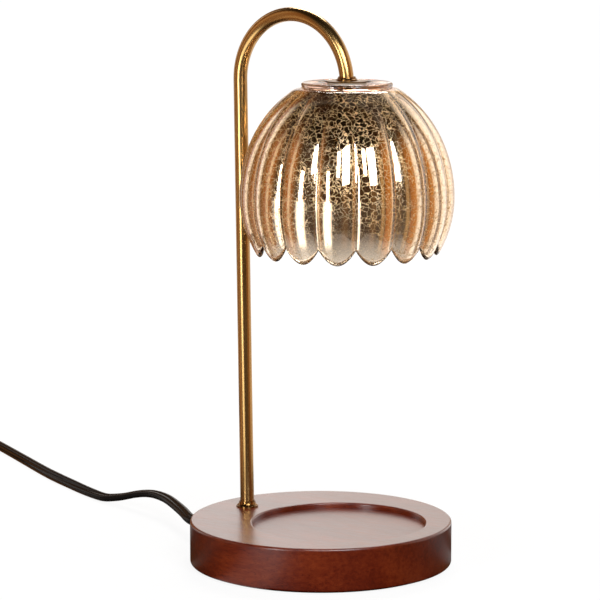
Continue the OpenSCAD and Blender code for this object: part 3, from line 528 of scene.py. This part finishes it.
def studio_colour(tree, vector):
    """The way as a unit vector, and the studio's colour that way."""
    way = add(tree, "ShaderNodeVectorMath", operation="NORMALIZE", I0=vector).outputs[0]
    front, right = along(tree, way, 0), along(tree, way, 90)
    turn = add(tree, "ShaderNodeMath", operation="ARCTAN2", I0=right, I1=front).outputs[0]
    place = mapped(tree, turn, -math.pi, math.pi)
    return way, ramp(tree, place, *[(0.5 + degrees / 360, colour) for degrees, colour in SWEEP])


floor_material = bpy.data.materials.new("floor")
floor_material.use_nodes = True
tree = floor_material.node_tree
tree.nodes.clear()
# The pieces see the studio's colours on the floor, with a bright strip to the left, and painted shade that
# makes it dimmer close by
spot = add(tree, "ShaderNodeNewGeometry").outputs["Position"]
way, sweep = studio_colour(tree, spot)
strip = mapped(tree, along(tree, way, STRIP_TURN), 0.955, 0.985, STRIP_DARK, STRIP_BRIGHT)
sweep = mixed_colour(tree, "ADD", 1.0, sweep, strip)
apart = add(tree, "ShaderNodeVectorMath", operation="LENGTH", I0=spot).outputs["Value"]
shaded = mapped(tree, apart, 0.20, 0.27, 0.15, 1.0)
sweep = mixed_colour(tree, "MULTIPLY", 1.0, sweep, shaded)
pieces_see = add(tree, "ShaderNodeEmission", Color=sweep, Strength=FLOOR_LEVEL)
# The camera sees it white, with a faint shadow: the diffuse part takes the real shadow, and the glow is
# painted shade, dimmer close to the object
pale = add(tree, "ShaderNodeBsdfDiffuse", Color=(0.10, 0.10, 0.10, 1))
level = mapped(tree, apart, 0.15, 0.60, 0.90, 1.0)
glow_with_painted_shade = add(tree, "ShaderNodeEmission", Color=(1, 1, 1, 1), Strength=level)
camera_sees = add(tree, "ShaderNodeAddShader", I0=pale.outputs[0], I1=glow_with_painted_shade.outputs[0])
camera_ray = add(tree, "ShaderNodeLightPath").outputs["Is Camera Ray"]
mixed = add(tree, "ShaderNodeMixShader", Fac=camera_ray, I1=pieces_see.outputs[0], I2=camera_sees.outputs[0])
tree.links.new(mixed.outputs[0], add(tree, "ShaderNodeOutputMaterial").inputs[0])
floor_mesh = bpy.data.meshes.new("floor")
corners = [(-1, -1), (1, -1), (1, 1), (-1, 1)]
floor_mesh.from_pydata([(FLOOR_HALF * x, FLOOR_HALF * y, 0) for x, y in corners], [], [(0, 1, 2, 3)])
floor_mesh.materials.append(floor_material)
floor = bpy.data.objects.new("floor", floor_mesh)
scene.collection.objects.link(floor)

# The world has the same colours under a dark roof, and is white for the camera
world = bpy.data.worlds.new("world")
scene.world = world
world.use_nodes = True
tree = world.node_tree
tree.nodes.clear()
way, sweep = studio_colour(tree, add(tree, "ShaderNodeTexCoord").outputs["Generated"])
height = add(tree, "ShaderNodeSeparateXYZ", Vector=way).outputs["Z"]
roof = ramp(tree, height, (0.45, grey(1.0)), (0.75, grey(0.06)))
sweep = mixed_colour(tree, "MULTIPLY", 1.0, sweep, roof)
camera_ray = add(tree, "ShaderNodeLightPath").outputs["Is Camera Ray"]
sweep = mixed_colour(tree, "MIX", camera_ray, sweep, (*grey(CAMERA_WHITE), 1))
soft = add(tree, "ShaderNodeBackground", Color=sweep, Strength=WORLD_LEVEL)
tree.links.new(soft.outputs[0], add(tree, "ShaderNodeOutputWorld").inputs[0])


MIDDLE = Vector((0.0, 0.0, 0.17))


def softbox(name, place, size, power, colour=(1, 1, 1)):
    """A rectangular lamp that faces the middle of the object."""
    data = bpy.data.lights.new(name, "AREA")
    data.shape = "RECTANGLE"
    data.size, data.size_y = size
    data.energy = power
    data.color = colour
    made = bpy.data.objects.new(name, data)
    scene.collection.objects.link(made)
    made.location = place
    made.rotation_mode = "QUATERNION"
    made.rotation_quaternion = (MIDDLE - Vector(place)).to_track_quat("-Z", "Y")


softbox("left_softbox", seen_from(-0.68, -0.87, 0.33), (0.16, 0.62), 5)
softbox("window_softbox", seen_from(0.37, -1.0, 0.77), (0.45, 0.66), 12, (0.90, 0.95, 1.0))
softbox("front_softbox", seen_from(-0.10, -1.1, 0.85), (0.20, 0.50), 3)
softbox("back_softbox", seen_from(0.10, 0.80, 1.05), (0.55, 0.35), 8, (1.0, 0.97, 0.93))
